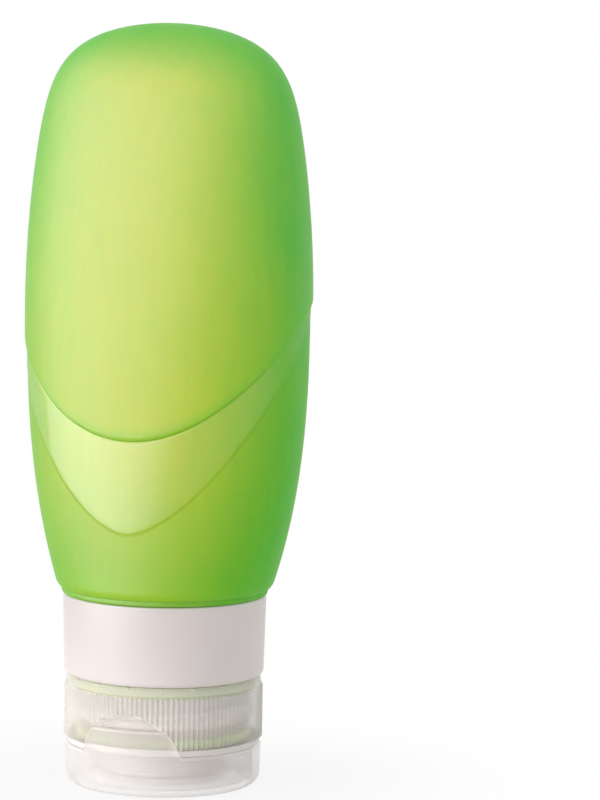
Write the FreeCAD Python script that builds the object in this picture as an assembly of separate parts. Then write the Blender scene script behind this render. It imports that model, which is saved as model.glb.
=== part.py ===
import FreeCAD, Part
import math
import os

# A squeezable travel bottle of about 100 ml that stands on its flip lid.
# Frame: origin at the middle of the lid's standing face, +Z up, -Y to the front, millimetres.

# Flip lid, a shallow cup with a plug that shuts the spout and a tongue for the thumb
LID_RADIUS = 18.35
LID_FOOT_RADIUS = 18.1
LID_HEIGHT = 7.7
LID_WALL = 1.5
LID_FLOOR = 1.3
LID_FOOT_ROUND = 2.2
LID_RIM_ROUND = 0.35
LID_PLUG_RADIUS = 4.4
LID_PLUG_BITE = 0.4
LID_RING_WALL = 0.9
LID_RING_GAP = 0.35
LID_RING_HEIGHT = 1.6
TONGUE_HEIGHT = 4.9
TONGUE_GAP = 0.2

# Screw cap with grip ribs outside and a spout turret that reaches into the lid
CAP_RADIUS = 18.6
CAP_HEIGHT = 12.8
CAP_WALL = 1.7
CAP_LIP_WALL = 0.9
CAP_LIP_DEPTH = 2.3
CAP_DECK = 1.0
CAP_BEVEL_WIDTH = 0.5
CAP_BEVEL_HEIGHT = 0.6
CAP_PLAIN_BAND = 1.1
CAP_FOOT_BAND = 1.05
SPLIT_GAP = 0.15
RIB_HEIGHT = 0.4
RIB_ROOT_DEPTH = 0.4
RIB_COUNT = 120
LUG_COUNT = 18
LUG_WIDTH = 0.7
LUG_REACH = 0.3
TURRET_RADIUS = 11.7
TURRET_WALL = 1.3
TURRET_REACH = 5.6
TURRET_FLOOR = 1.2
TURRET_ROUND = 0.9
SPOUT_RADIUS = 5.0
THUMB_HALF_WIDTH = 10.25
THUMB_HEIGHT = 7.95
THUMB_DEPTH = 1.1

# Hinge at the back: a film on the axis between two spring straps
HINGE_REACH = 0.45
HINGE_BEAD_RADIUS = 0.5
FILM_HALF_WIDTH = 3.8
FILM_HALF_HEIGHT = 0.7
STRAP_HALF_SPAN = 9.6
STRAP_HALF_HEIGHT = 3.9
STRAP_WAIST_PLACE = 7.0
STRAP_WAIST_HEIGHT = 1.7
STRAP_END_HOLLOW = 0.8
STRAP_THICKNESS = 0.8
STRAP_GAP = 0.15
HINGE_PANEL_MARGIN = 4.4
HINGE_PANEL_HEIGHT = 7.4

# Valve inside the turret, its retaining ring, and the washer under the neck
VALVE_THICKNESS = 1.2
VALVE_SKIN = 0.6
VALVE_SKIN_RADIUS = 4.3
VALVE_SKIN_SLOPE = 0.7
SLIT_LENGTH = 5.6
SLIT_WIDTH = 0.12
RETAINER_BORE = 6.8
RETAINER_HEIGHT = 1.8
WASHER_THICKNESS = 1.6
WASHER_LIP = 0.4

# Threaded neck that plugs into the soft mouth, and the rigid collar round it
NECK_SLEEVE_WALL = 1.5
NECK_SLEEVE_LENGTH = 14.0
NECK_FLANGE_THICKNESS = 1.2
NECK_GROOVE_COUNT = 3
NECK_GROOVE_DEPTH = 0.4
NECK_GROOVE_WIDTH = 1.2
THREAD_HEIGHT = 0.85
THREAD_GAP = 0.35
COLLAR_HEIGHT = 14.9
COLLAR_TOP_RADIUS = 19.0
COLLAR_FOOT_RADIUS = 18.7
COLLAR_WALL = 2.2
COLLAR_FOOT_ROUND = 1.4
COLLAR_TOP_ROUND = 0.5
COLLAR_GAP = 0.3

# Silicone bottle: mouth, barrel, polished band and hood
BOTTLE_WIDTH = 54.9
BOTTLE_DEPTH = 39.8
BOTTLE_HEIGHT = 106.05
BOTTLE_WALL = 2.7
BOTTLE_FOOT_RADIUS = 20.2
BOTTLE_FOOT_ROUND = 2.6
WIDEST_HEIGHT = 56.0
THICKEST_HEIGHT = 24.0
MOUTH_WALL = 2.0
HOOD_STEP = 0.5
HOOD_ROUND = 0.4
BAND_STEP = 0.2
HOOD_FRONT_HEIGHT = 30.35
HOOD_SIDE_HEIGHT = 52.6
HOOD_BACK_HEIGHT = 54.1
BAND_FRONT_HEIGHT = 13.3
BAND_SIDE_HEIGHT = 49.8
BAND_BACK_HEIGHT = 50.4

# Exponents and shares of the curves that shape the bottle
BARREL_POWER = 2.85
SHOULDER_POWER = 2.0
CROWN_TAPER_SHARE = 0.21
CROWN_POWER = 10.5
SPINE_POWER = 2.0
ROUND_POWER = 2.0
OVAL_POWER = 2.25
HOOD_POWER = 2.0
BAND_POWER = 1.6
OVAL_POINTS = 24
BARREL_SHARES = (0.0, 0.1, 0.25, 0.45, 0.7)
TAPER_SHARES = (0.0, 0.25, 0.5, 0.68)
CROWN_ANGLES = (20, 35, 50, 63, 74, 83, 88)
EDGE_SHARES = (-1.0, -0.72, -0.4, 0.0, 0.4, 0.72, 1.0)

# Suction cup pushed into a socket in a round recess of the back
RECESS_RADIUS = 18.4
RECESS_HEIGHT = 80.1
RECESS_DEPTH = 9.5
RECESS_TILT = 11.0
CUP_RADIUS = 14.8
CUP_HEIGHT = 4.4
CUP_LIP = 0.7
CUP_FLOOR_RADIUS = 10.0
CUP_FLOOR_CLEARANCE = 0.3
CUP_FLOOR_THICKNESS = 1.3
CUP_BOWL_ROUND = 2.6
STEM_RADIUS = 3.6
STEM_LENGTH = 4.0
SOCKET_WALL = 2.4

# Clearances and the overrun of cutting shapes
SEAT_GAP = 0.05
RUN_GAP = 0.1
FLANGE_GAP = 0.15
OVERRUN = 2.0

# Levels of the stack, from the standing face up
CAP_BOTTOM = LID_HEIGHT + SPLIT_GAP
CAP_TOP = CAP_BOTTOM + CAP_HEIGHT
DECK_TOP = CAP_BOTTOM + CAP_DECK
TURRET_BOTTOM = CAP_BOTTOM - TURRET_REACH
VALVE_SEAT = TURRET_BOTTOM + TURRET_FLOOR + SEAT_GAP
WASHER_BOTTOM = DECK_TOP + SEAT_GAP
WASHER_TOP = WASHER_BOTTOM + WASHER_THICKNESS
MOUTH_BOTTOM = CAP_TOP - CAP_LIP_DEPTH + FLANGE_GAP
COLLAR_BOTTOM = CAP_TOP + COLLAR_GAP
MOUTH_FLANGE_TOP = COLLAR_BOTTOM - RUN_GAP
COLLAR_TOP = COLLAR_BOTTOM + COLLAR_HEIGHT
BOTTLE_BOTTOM = COLLAR_TOP + RUN_GAP

# Radii and places that several pieces share
CAP_ROOT = CAP_RADIUS - RIB_HEIGHT
CAP_BORE = CAP_ROOT - CAP_WALL
CAP_LIP_BORE = CAP_ROOT - CAP_LIP_WALL
THUMB_FLOOR_RADIUS = CAP_ROOT - THUMB_DEPTH
TURRET_BORE = TURRET_RADIUS - TURRET_WALL
COLLAR_BORE = COLLAR_FOOT_RADIUS - COLLAR_WALL
MOUTH_RADIUS = COLLAR_BORE - RUN_GAP
MOUTH_BORE = MOUTH_RADIUS - MOUTH_WALL
SLEEVE_RADIUS = MOUTH_BORE - SEAT_GAP
NECK_BORE = SLEEVE_RADIUS - NECK_SLEEVE_WALL
THREAD_ROOT = CAP_BORE - THREAD_GAP - THREAD_HEIGHT
HINGE_LEVEL = LID_HEIGHT + SPLIT_GAP / 2
HINGE_OFFSET = LID_RADIUS + HINGE_REACH
STRAP_INNER = LID_RADIUS - STRAP_THICKNESS
RECESS_FLOOR_OFFSET = BOTTLE_DEPTH / 2 - RECESS_DEPTH

V = FreeCAD.Vector
UP = V(0, 0, 1)


def rounded_corner(before, here, after, radius):
    """First, middle and last point of the arc that rounds the corner at here."""
    back = (before - here).normalize()
    ahead = (after - here).normalize()
    half_angle = back.getAngle(ahead) / 2
    reach = radius / math.tan(half_angle)
    inward = (back + ahead).normalize()
    middle = here + inward * (radius / math.sin(half_angle) - radius)
    return here + back * reach, middle, here + ahead * reach


def face_of(corners):
    """Flat face in the XZ plane. A third number in a corner is its rounding radius."""
    points = [V(corner[0], 0, corner[1]) for corner in corners]
    arcs = []
    for i, corner in enumerate(corners):
        after = points[(i + 1) % len(points)]
        if len(corner) == 3:
            arcs.append(rounded_corner(points[i - 1], points[i], after, corner[2]))
        else:
            arcs.append((points[i], points[i], points[i]))
    edges = []
    for i, (first, middle, last) in enumerate(arcs):
        if first != last:
            edges.append(Part.Arc(first, middle, last).toShape())
        edges.append(Part.LineSegment(last, arcs[(i + 1) % len(arcs)][0]).toShape())
    return Part.Face(Part.Wire(edges))


def turned(corners):
    """Solid of revolution about Z from (radius, height) corners."""
    return face_of(corners).revolve(V(0, 0, 0), UP, 360)


def prism(face, start, finish):
    """Solid between y = start and y = finish with a face of the XZ plane as its section."""
    moved = face.translated(V(0, start, 0))
    return moved.extrude(V(0, finish - start, 0))


def arch(half_width, base, crown):
    """Face under a circular arc of the given half width, from the base up to the crown."""
    left = V(-half_width, 0, base)
    right = V(half_width, 0, base)
    arc = Part.Arc(right, V(0, 0, crown), left).toShape()
    return Part.Face(Part.Wire([Part.LineSegment(left, right).toShape(), arc]))


def disc(radius, bottom, top):
    """Upright cylinder about the Z axis."""
    return Part.makeCylinder(radius, top - bottom, V(0, 0, bottom))


# Lid

def flares(side, grow):
    """Upper and lower edge of a strap, two curves that open outward from the film."""
    near = V(side * FILM_HALF_WIDTH, 0, FILM_HALF_HEIGHT + grow)
    waist = V(side * STRAP_WAIST_PLACE, 0, STRAP_WAIST_HEIGHT + grow)
    far = V(side * STRAP_HALF_SPAN, 0, STRAP_HALF_HEIGHT + grow)
    upper = Part.Arc(near, waist, far).toShape()
    return [upper, upper.mirror(V(0, 0, 0), UP)]


def at_hinge(edges):
    """Face inside a loop of edges drawn round the hinge axis, moved up to the hinge level."""
    return Part.Face(Part.Wire(Part.sortEdges(edges)[0])).translated(UP * HINGE_LEVEL)


def bow_tie(grow):
    """Outline of the film and both straps, grown by a gap."""
    end = STRAP_HALF_SPAN + grow
    tall = STRAP_HALF_HEIGHT + grow
    low = FILM_HALF_HEIGHT + grow
    stop = [(STRAP_HALF_SPAN, tall), (end, tall), (end, -tall), (STRAP_HALF_SPAN, -tall)]
    edges = []
    for side in (-1, 1):
        edges += flares(side, grow)
        edges += Part.makePolygon([V(side * x, 0, z) for x, z in stop]).Edges
        start = V(-FILM_HALF_WIDTH, 0, side * low)
        edges.append(Part.LineSegment(start, V(FILM_HALF_WIDTH, 0, side * low)).toShape())
    return at_hinge(edges)


def hinge_pocket():
    """What the hinge pieces take out of the back walls of the lid and the cap."""
    outside = HINGE_OFFSET + OVERRUN
    block = prism(bow_tie(STRAP_GAP), 0, outside)
    return block.cut(disc(STRAP_INNER - STRAP_GAP, 0, CAP_TOP))


def thumb_opening(gap):
    """Block through the front wall under the thumb arch, smaller by a gap all round."""
    below = CAP_BOTTOM - OVERRUN
    crown = CAP_BOTTOM + THUMB_HEIGHT - gap
    return prism(arch(THUMB_HALF_WIDTH - gap, below, crown), 0, -CAP_RADIUS - OVERRUN)


def lid_tongue():
    """Front of the lid's wall carried up into the thumb arch of the cap."""
    draft = (LID_RADIUS - LID_FOOT_RADIUS) / LID_HEIGHT
    root = LID_HEIGHT - LID_WALL
    tip = LID_HEIGHT + TONGUE_HEIGHT
    inside = THUMB_FLOOR_RADIUS + TONGUE_GAP
    ring = turned([
        (inside, root),
        (LID_FOOT_RADIUS + draft * root, root),
        (LID_FOOT_RADIUS + draft * tip, tip, LID_RIM_ROUND),
        (inside, tip),
    ])
    return ring.common(thumb_opening(TONGUE_GAP))


def flip_lid():
    """Cup with a rounded foot, a plug for the spout, a ring round the turret and the tongue."""
    inside = LID_RADIUS - LID_WALL
    plug_top = TURRET_BOTTOM + LID_PLUG_BITE
    cup = turned([
        (0, 0),
        (LID_FOOT_RADIUS, 0, LID_FOOT_ROUND),
        (LID_RADIUS, LID_HEIGHT, LID_RIM_ROUND),
        (inside, LID_HEIGHT),
        (inside, LID_FLOOR),
        (LID_PLUG_RADIUS, LID_FLOOR),
        (LID_PLUG_RADIUS, plug_top),
        (0, plug_top),
    ])
    ring_bore = TURRET_RADIUS + LID_RING_GAP
    ring_top = LID_FLOOR + LID_RING_HEIGHT
    ring = disc(ring_bore + LID_RING_WALL, LID_FLOOR - LID_FLOOR / 2, ring_top)
    ring = ring.cut(disc(ring_bore, 0, ring_top))
    return cup.fuse([ring, lid_tongue()]).removeSplitter().cut(hinge_pocket())


# Screw cap and hinge

def grip_ribs(bottom, top):
    """Ring whose outside is a star of fine upright ribs."""
    points = []
    for i in range(2 * RIB_COUNT + 1):
        angle = math.pi * i / RIB_COUNT
        radius = CAP_RADIUS if i % 2 else CAP_ROOT
        points.append(V(radius * math.cos(angle), radius * math.sin(angle), bottom))
    star = Part.Face(Part.makePolygon(points)).extrude(V(0, 0, top - bottom))
    return star.cut(disc(CAP_ROOT - CAP_WALL / 2, bottom, top))


def lugs():
    """Small blocks round the cap's upper edge, as a polar pattern."""
    inner = CAP_ROOT - CAP_BEVEL_WIDTH
    block = Part.makeBox(CAP_BEVEL_WIDTH, LUG_WIDTH, CAP_BEVEL_HEIGHT + LUG_REACH)
    block.translate(V(inner, -LUG_WIDTH / 2, CAP_TOP - CAP_BEVEL_HEIGHT - LUG_REACH))
    copies = []
    for i in range(LUG_COUNT):
        copy = block.copy()
        copy.rotate(V(0, 0, 0), UP, 360 * (i + 0.5) / LUG_COUNT)
        copies.append(copy)
    return copies


def screw_cap():
    """Skirt, deck and spout turret, with ribs outside, a thumb recess and the hinge pocket."""
    rib_top = CAP_TOP - CAP_BEVEL_HEIGHT - CAP_PLAIN_BAND
    rib_root = CAP_ROOT - RIB_ROOT_DEPTH
    shell = turned([
        (SPOUT_RADIUS, TURRET_BOTTOM),
        (TURRET_RADIUS, TURRET_BOTTOM, TURRET_ROUND),
        (TURRET_RADIUS, CAP_BOTTOM),
        (rib_root, CAP_BOTTOM),
        (rib_root, rib_top),
        (CAP_ROOT, rib_top),
        (CAP_ROOT, CAP_TOP - CAP_BEVEL_HEIGHT),
        (CAP_ROOT - CAP_BEVEL_WIDTH, CAP_TOP),
        (CAP_LIP_BORE, CAP_TOP),
        (CAP_LIP_BORE, CAP_TOP - CAP_LIP_DEPTH),
        (CAP_BORE, CAP_TOP - CAP_LIP_DEPTH),
        (CAP_BORE, DECK_TOP),
        (TURRET_BORE, DECK_TOP),
        (TURRET_BORE, TURRET_BOTTOM + TURRET_FLOOR),
        (SPOUT_RADIUS, TURRET_BOTTOM + TURRET_FLOOR),
    ])
    ribs = grip_ribs(CAP_BOTTOM + CAP_FOOT_BAND, rib_top)
    cap = shell.fuse([ribs] + lugs()).removeSplitter()
    outside = CAP_RADIUS + OVERRUN
    below = CAP_BOTTOM - OVERRUN
    thumb = thumb_opening(0).cut(disc(THUMB_FLOOR_RADIUS, below, CAP_TOP))
    panel_half = STRAP_HALF_SPAN + HINGE_PANEL_MARGIN
    panel = prism(arch(panel_half, below, CAP_BOTTOM + HINGE_PANEL_HEIGHT), 0, outside)
    panel = panel.cut(disc(CAP_ROOT, below, CAP_TOP))
    return cap.cut([thumb, panel, hinge_pocket()])


def hinge_wall():
    """The thin cylinder wall that the film and the straps are cut from."""
    low = HINGE_LEVEL - STRAP_HALF_HEIGHT
    high = HINGE_LEVEL + STRAP_HALF_HEIGHT
    return disc(LID_RADIUS, low, high).cut(disc(STRAP_INNER, low, high))


def hinge_film():
    """Short strip on the hinge line with a round bead on the axis."""
    half = FILM_HALF_WIDTH - STRAP_GAP
    low = HINGE_LEVEL - FILM_HALF_HEIGHT
    high = HINGE_LEVEL + FILM_HALF_HEIGHT
    strip = face_of([(-half, low), (half, low), (half, high), (-half, high)])
    bead = Part.makeCylinder(HINGE_BEAD_RADIUS, 2 * half, V(-half, HINGE_OFFSET, HINGE_LEVEL), V(1, 0, 0))
    return hinge_wall().common(prism(strip, 0, HINGE_OFFSET)).fuse(bead).removeSplitter()


def hinge_strap(side):
    """Flared strap beside the film; side is -1 for the left and 1 for the right."""
    near = V(side * FILM_HALF_WIDTH, 0, FILM_HALF_HEIGHT)
    far = V(side * STRAP_HALF_SPAN, 0, STRAP_HALF_HEIGHT)
    hollow = V(side * (STRAP_HALF_SPAN - STRAP_END_HOLLOW), 0, 0)
    root = Part.LineSegment(near, V(near.x, 0, -near.z)).toShape()
    end = Part.Arc(far, hollow, V(far.x, 0, -far.z)).toShape()
    blade = at_hinge(flares(side, 0) + [root, end])
    return hinge_wall().common(prism(blade, 0, HINGE_OFFSET))


# Valve and seals

def slit_valve():
    """Soft disc with a thin middle that a cross slit opens under pressure."""
    top = VALVE_SEAT + VALVE_THICKNESS
    skin = VALVE_SEAT + VALVE_SKIN
    valve = turned([
        (0, VALVE_SEAT),
        (TURRET_BORE - SEAT_GAP, VALVE_SEAT),
        (TURRET_BORE - SEAT_GAP, top),
        (VALVE_SKIN_RADIUS + VALVE_SKIN_SLOPE, top),
        (VALVE_SKIN_RADIUS, skin),
        (0, skin),
    ])
    slit = Part.makeBox(SLIT_LENGTH, SLIT_WIDTH, VALVE_THICKNESS + OVERRUN)
    slit.translate(V(-SLIT_LENGTH / 2, -SLIT_WIDTH / 2, VALVE_SEAT - OVERRUN / 2))
    cross = slit.copy()
    cross.rotate(V(0, 0, 0), UP, 90)
    return valve.cut([slit, cross])


def valve_retainer():
    """Ring pressed into the turret behind the valve."""
    low = VALVE_SEAT + VALVE_THICKNESS + SEAT_GAP
    high = low + RETAINER_HEIGHT
    lead = TURRET_BORE - SEAT_GAP
    return turned([(RETAINER_BORE, low), (lead, low), (lead, high, SEAT_GAP), (RETAINER_BORE, high)])


def sealing_washer():
    """Flat silicone ring on the deck that the neck presses down on."""
    outer = CAP_BORE - SEAT_GAP
    inner = NECK_BORE - WASHER_LIP
    return disc(outer, WASHER_BOTTOM, WASHER_TOP).cut(disc(inner, WASHER_BOTTOM, WASHER_TOP))


# Neck and collar

def threaded_neck():
    """Rigid tube with a flange: its sleeve fills the soft mouth and its foot takes the thread."""
    bottom = WASHER_TOP + RUN_GAP
    sleeve_top = MOUTH_BOTTOM + NECK_SLEEVE_LENGTH
    flange_bottom = MOUTH_BOTTOM - NECK_FLANGE_THICKNESS
    tube = turned([
        (NECK_BORE, bottom),
        (THREAD_ROOT, bottom),
        (THREAD_ROOT, flange_bottom),
        (CAP_BORE - THREAD_GAP, flange_bottom),
        (CAP_BORE - THREAD_GAP, MOUTH_BOTTOM),
        (SLEEVE_RADIUS, MOUTH_BOTTOM),
        (SLEEVE_RADIUS, sleeve_top),
        (NECK_BORE, sleeve_top),
    ])
    pitch = NECK_SLEEVE_LENGTH / (NECK_GROOVE_COUNT + 1)
    grooves = []
    for i in range(NECK_GROOVE_COUNT):
        low = MOUTH_BOTTOM + pitch * (i + 1) - NECK_GROOVE_WIDTH / 2
        high = low + NECK_GROOVE_WIDTH
        ring = disc(SLEEVE_RADIUS + OVERRUN, low, high)
        grooves.append(ring.cut(disc(SLEEVE_RADIUS - NECK_GROOVE_DEPTH, low, high)))
    return tube.cut(grooves)


def neck_collar():
    """White rigid ring that clasps the mouth, a little wider at the top."""
    return turned([
        (COLLAR_BORE, COLLAR_BOTTOM),
        (COLLAR_FOOT_RADIUS, COLLAR_BOTTOM, COLLAR_FOOT_ROUND),
        (COLLAR_TOP_RADIUS, COLLAR_TOP, COLLAR_TOP_ROUND),
        (COLLAR_BORE, COLLAR_TOP),
    ])


# Silicone bottle

def half_width(height, inset):
    """Half width at a height: a power curve up to the widest place, then a taper with a round end."""
    widest = BOTTLE_WIDTH / 2 - inset
    if height < WIDEST_HEIGHT:
        narrowing = BOTTLE_WIDTH / 2 - BOTTLE_FOOT_RADIUS
        return widest - narrowing * (1 - height / WIDEST_HEIGHT) ** BARREL_POWER
    rise = (height - WIDEST_HEIGHT) / (BOTTLE_HEIGHT - inset - WIDEST_HEIGHT)
    taper = 1 - CROWN_TAPER_SHARE * rise ** 2
    return widest * taper * math.sqrt(1 - rise ** CROWN_POWER)


def half_depth(height, inset):
    """Half depth at a height: a power curve below the thickest place, an ellipse above."""
    thickest = BOTTLE_DEPTH / 2 - inset
    if height < THICKEST_HEIGHT:
        narrowing = BOTTLE_DEPTH / 2 - BOTTLE_FOOT_RADIUS
        return thickest - narrowing * (1 - height / THICKEST_HEIGHT) ** SHOULDER_POWER
    rise = (height - THICKEST_HEIGHT) / (BOTTLE_HEIGHT - inset - THICKEST_HEIGHT)
    return thickest * (1 - rise ** SPINE_POWER) ** (1 / SPINE_POWER)


def oval(height, inset):
    """Closed section at a height, round at the foot and a superellipse higher up."""
    power = ROUND_POWER + (OVAL_POWER - ROUND_POWER) * min(1, height / WIDEST_HEIGHT)
    wide = half_width(height, inset)
    deep = half_depth(height, inset)
    points = []
    for i in range(OVAL_POINTS):
        angle = 2 * math.pi * i / OVAL_POINTS
        across = math.copysign(abs(math.cos(angle)) ** (2 / power), math.cos(angle))
        along = math.copysign(abs(math.sin(angle)) ** (2 / power), math.sin(angle))
        points.append(V(wide * across, deep * along, BOTTLE_BOTTOM + height))
    curve = Part.BSplineCurve()
    curve.interpolate(points, PeriodicFlag=True)
    return Part.Wire(curve.toShape())


def domed_form(inset, start):
    """Loft of the bottle's ovals, inset all round, from a start height up to the crown."""
    heights = [start + (WIDEST_HEIGHT - start) * share for share in BARREL_SHARES]
    crown = BOTTLE_HEIGHT - inset
    round_end = [math.sin(math.radians(angle)) ** (2 / CROWN_POWER) for angle in CROWN_ANGLES]
    for rise in list(TAPER_SHARES) + round_end:
        heights.append(WIDEST_HEIGHT + (crown - WIDEST_HEIGHT) * rise)
    sections = [oval(height, inset) for height in heights]
    tip = Part.Vertex(0, 0, BOTTLE_BOTTOM + crown)
    return Part.makeLoft(sections + [tip], True, False)


def above_edge(front, side, back, power):
    """Space above a curved surface that tilts up from front to back, heights on the bottle.

    Across the width the surface rises from the middle as a power of the distance.
    """
    reach = BOTTLE_WIDTH / 2
    outer = reach + OVERRUN
    middle = (front + back) / 2
    tilt = (back - front) / 2
    ceiling = BOTTLE_BOTTOM + BOTTLE_HEIGHT + tilt + OVERRUN
    points = []
    for share in EDGE_SHARES:
        rise = (side - middle) * abs(share * outer / reach) ** power
        points.append(V(share * outer, 0, BOTTLE_BOTTOM + middle + rise))
    curve = Part.BSplineCurve()
    curve.interpolate(points)
    left, right = points[0], points[-1]
    rest = Part.makePolygon([right, V(outer, 0, ceiling), V(-outer, 0, ceiling), left])
    face = Part.Face(Part.Wire([curve.toShape()] + rest.Edges))
    run = V(0, BOTTLE_DEPTH / 2, tilt)
    return face.translated(-run).extrude(run * 2)


def cup_place():
    """Placement at the recess floor, with its Z axis pointing out of the back."""
    tilt = math.radians(RECESS_TILT)
    outward = V(0, math.cos(tilt), math.sin(tilt))
    middle = V(0, RECESS_FLOOR_OFFSET, BOTTLE_BOTTOM + RECESS_HEIGHT)
    return FreeCAD.Placement(middle, FreeCAD.Rotation(UP, outward))


def at_cup(shape):
    """The shape, modelled about the Z axis, moved to the recess in the back."""
    moved = shape.copy()
    moved.Placement = cup_place()
    return moved


def bottle_inside():
    """The hollow: an inset form that keeps the wall behind the recess and round the socket."""
    hollow = domed_form(BOTTLE_WALL + HOOD_STEP, BOTTLE_WALL)
    behind = at_cup(disc(RECESS_RADIUS + BOTTLE_WALL, -BOTTLE_WALL, BOTTLE_DEPTH))
    boss = at_cup(disc(STEM_RADIUS + SOCKET_WALL, -STEM_LENGTH - SOCKET_WALL, BOTTLE_DEPTH))
    bore = disc(MOUTH_BORE, MOUTH_BOTTOM, BOTTLE_BOTTOM + BOTTLE_WALL + OVERRUN)
    return hollow.cut([behind, boss]).fuse(bore)


def bottle_shell():
    """One soft moulding: mouth with flange, barrel, proud band, prouder hood and back recess."""
    barrel = domed_form(HOOD_STEP, 0)
    foot = [edge for edge in barrel.Edges if edge.BoundBox.ZMax < BOTTLE_BOTTOM + SEAT_GAP]
    barrel = barrel.makeFillet(BOTTLE_FOOT_ROUND, foot)
    band = domed_form(HOOD_STEP - BAND_STEP, 0)
    band = band.common(above_edge(BAND_FRONT_HEIGHT, BAND_SIDE_HEIGHT, BAND_BACK_HEIGHT, BAND_POWER))
    hood = domed_form(0, 0)
    hood = hood.common(above_edge(HOOD_FRONT_HEIGHT, HOOD_SIDE_HEIGHT, HOOD_BACK_HEIGHT, HOOD_POWER))
    hem = [edge for edge in hood.Edges if len(hood.ancestorsOfType(edge, Part.Face)) == 2]
    hood = hood.makeFillet(HOOD_ROUND, hem)
    mouth = disc(MOUTH_RADIUS, MOUTH_BOTTOM, BOTTLE_BOTTOM + BOTTLE_WALL)
    flange = disc(CAP_LIP_BORE - FLANGE_GAP, MOUTH_BOTTOM, MOUTH_FLANGE_TOP)
    recess = at_cup(disc(RECESS_RADIUS, 0, BOTTLE_DEPTH))
    socket = at_cup(disc(STEM_RADIUS + SEAT_GAP, -STEM_LENGTH - SEAT_GAP, BOTTLE_DEPTH))
    solid = barrel.fuse([band, hood, mouth, flange])
    return solid.cut([recess, socket, bottle_inside()])


def suction_cup():
    """Shallow bowl with a thin lip on a short stem that fills the socket."""
    back = CUP_FLOOR_CLEARANCE
    floor = back + CUP_FLOOR_THICKNESS
    bowl = turned([
        (0, -STEM_LENGTH),
        (STEM_RADIUS, -STEM_LENGTH),
        (STEM_RADIUS, back),
        (CUP_FLOOR_RADIUS + CUP_LIP, back, CUP_BOWL_ROUND),
        (CUP_RADIUS, CUP_HEIGHT),
        (CUP_RADIUS - CUP_LIP, CUP_HEIGHT),
        (CUP_FLOOR_RADIUS, floor, CUP_BOWL_ROUND),
        (0, floor),
    ])
    return at_cup(bowl)


nodes = {
    "flip_lid": flip_lid(),
    "screw_cap": screw_cap(),
    "hinge_film": hinge_film(),
    "hinge_strap_left": hinge_strap(-1),
    "hinge_strap_right": hinge_strap(1),
    "slit_valve": slit_valve(),
    "valve_retainer": valve_retainer(),
    "sealing_washer": sealing_washer(),
    "threaded_neck": threaded_neck(),
    "neck_collar": neck_collar(),
    "bottle_shell": bottle_shell(),
    "suction_cup": suction_cup(),
}

os.makedirs("parts", exist_ok=True)
for name, shape in nodes.items():
    shape.exportStep(f"parts/{name}.step")
    print(name, shape.ShapeType, shape.isValid(), len(shape.Solids), round(shape.Volume))
print("capacity in ml", round(bottle_inside().Volume / 1000, 1))
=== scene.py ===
import bmesh
import bpy
import numpy as np
from mathutils import Matrix, Vector


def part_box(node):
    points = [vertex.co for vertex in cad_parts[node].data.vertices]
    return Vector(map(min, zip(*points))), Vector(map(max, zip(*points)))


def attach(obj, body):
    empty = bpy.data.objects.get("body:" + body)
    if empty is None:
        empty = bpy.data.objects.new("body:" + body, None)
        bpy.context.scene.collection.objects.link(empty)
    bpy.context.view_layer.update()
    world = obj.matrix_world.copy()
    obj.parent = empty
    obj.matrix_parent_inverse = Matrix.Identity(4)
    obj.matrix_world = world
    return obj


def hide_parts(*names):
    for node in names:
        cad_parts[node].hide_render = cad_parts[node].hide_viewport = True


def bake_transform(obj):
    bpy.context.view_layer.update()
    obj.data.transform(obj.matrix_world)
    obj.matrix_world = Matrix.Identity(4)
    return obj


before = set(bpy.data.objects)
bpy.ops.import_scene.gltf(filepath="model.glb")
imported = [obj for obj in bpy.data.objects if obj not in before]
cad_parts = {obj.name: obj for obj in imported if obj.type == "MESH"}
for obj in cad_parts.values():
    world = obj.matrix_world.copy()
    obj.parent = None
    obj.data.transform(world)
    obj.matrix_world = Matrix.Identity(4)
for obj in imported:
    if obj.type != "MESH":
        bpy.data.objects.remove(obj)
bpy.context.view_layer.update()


# Silicone bottle. One soft moulding in translucent green: a foot that rests on the collar, a barrel,
# a polished band that wraps it, and a matte hood that overlaps the band. Its mouth passes down
# through the collar and ends in a flange. A core leaves the hollow inside.

MM = 0.001


def extent(node):
    """Lowest and highest corner of a CAD node in millimetres, as two rows."""
    return np.array(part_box(node)) / MM


CAP_TOP = extent("screw_cap")[1, 2]
COLLAR_TOP = extent("neck_collar")[1, 2]
BOTTLE_TOP = extent("bottle_shell")[1, 2]
BOTTLE_FLOOR = COLLAR_TOP + 0.1
BOTTLE_HEIGHT = BOTTLE_TOP - BOTTLE_FLOOR
BOTTLE_HALF_WIDTH = 27.45
BOTTLE_HALF_DEPTH = 19.88
BOTTLE_WALL = 2.7
FOOT_RADIUS = 20.2
FOOT_ROUND = 2.6
FOOT_START = np.radians(55)
WIDEST_HEIGHT = 56.0
THICKEST_HEIGHT = 24.0
BARREL_POWER = 2.85
SECTION_SQUARING = 0.25
CROWN_TAPER = 0.21
CROWN_POWER = 10.5
CROWN_START = np.radians(5.5)
HOOD_STEP = 0.5
HOOD_HEM = 0.9
HOOD_EVEN_HEIGHT = 62.0
GROOVE_DEPTH = 0.1
GROOVE_WIDTH = 0.7
BAND_STEP = 0.08
BAND_HEM = 1.4
FOOT_LIP_ROUGH = 0.6
BARREL_ROUGH = 0.55
HOOD_ROUGH = 0.5
BAND_ROUGH = 0.45
GROOVE_ROUGH = 0.4
MOUTH_RADIUS = 16.4
MOUTH_BORE = 14.4
FLANGE_RADIUS = 17.15
FLANGE_TOP = CAP_TOP + 0.05
MOUTH_BOTTOM = CAP_TOP - 2.15
HOLLOW_PALE_SHARE = 0.5
MOUTH_PALE_SHARE = 0.7
RECESS_RADIUS = 18.4
RECESS_SOFT_EDGE = 1.5
RECESS_REACH = 6.0
RECESS_MIDDLE = np.array([0.0, 10.4, BOTTLE_FLOOR + 80.1])
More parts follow.
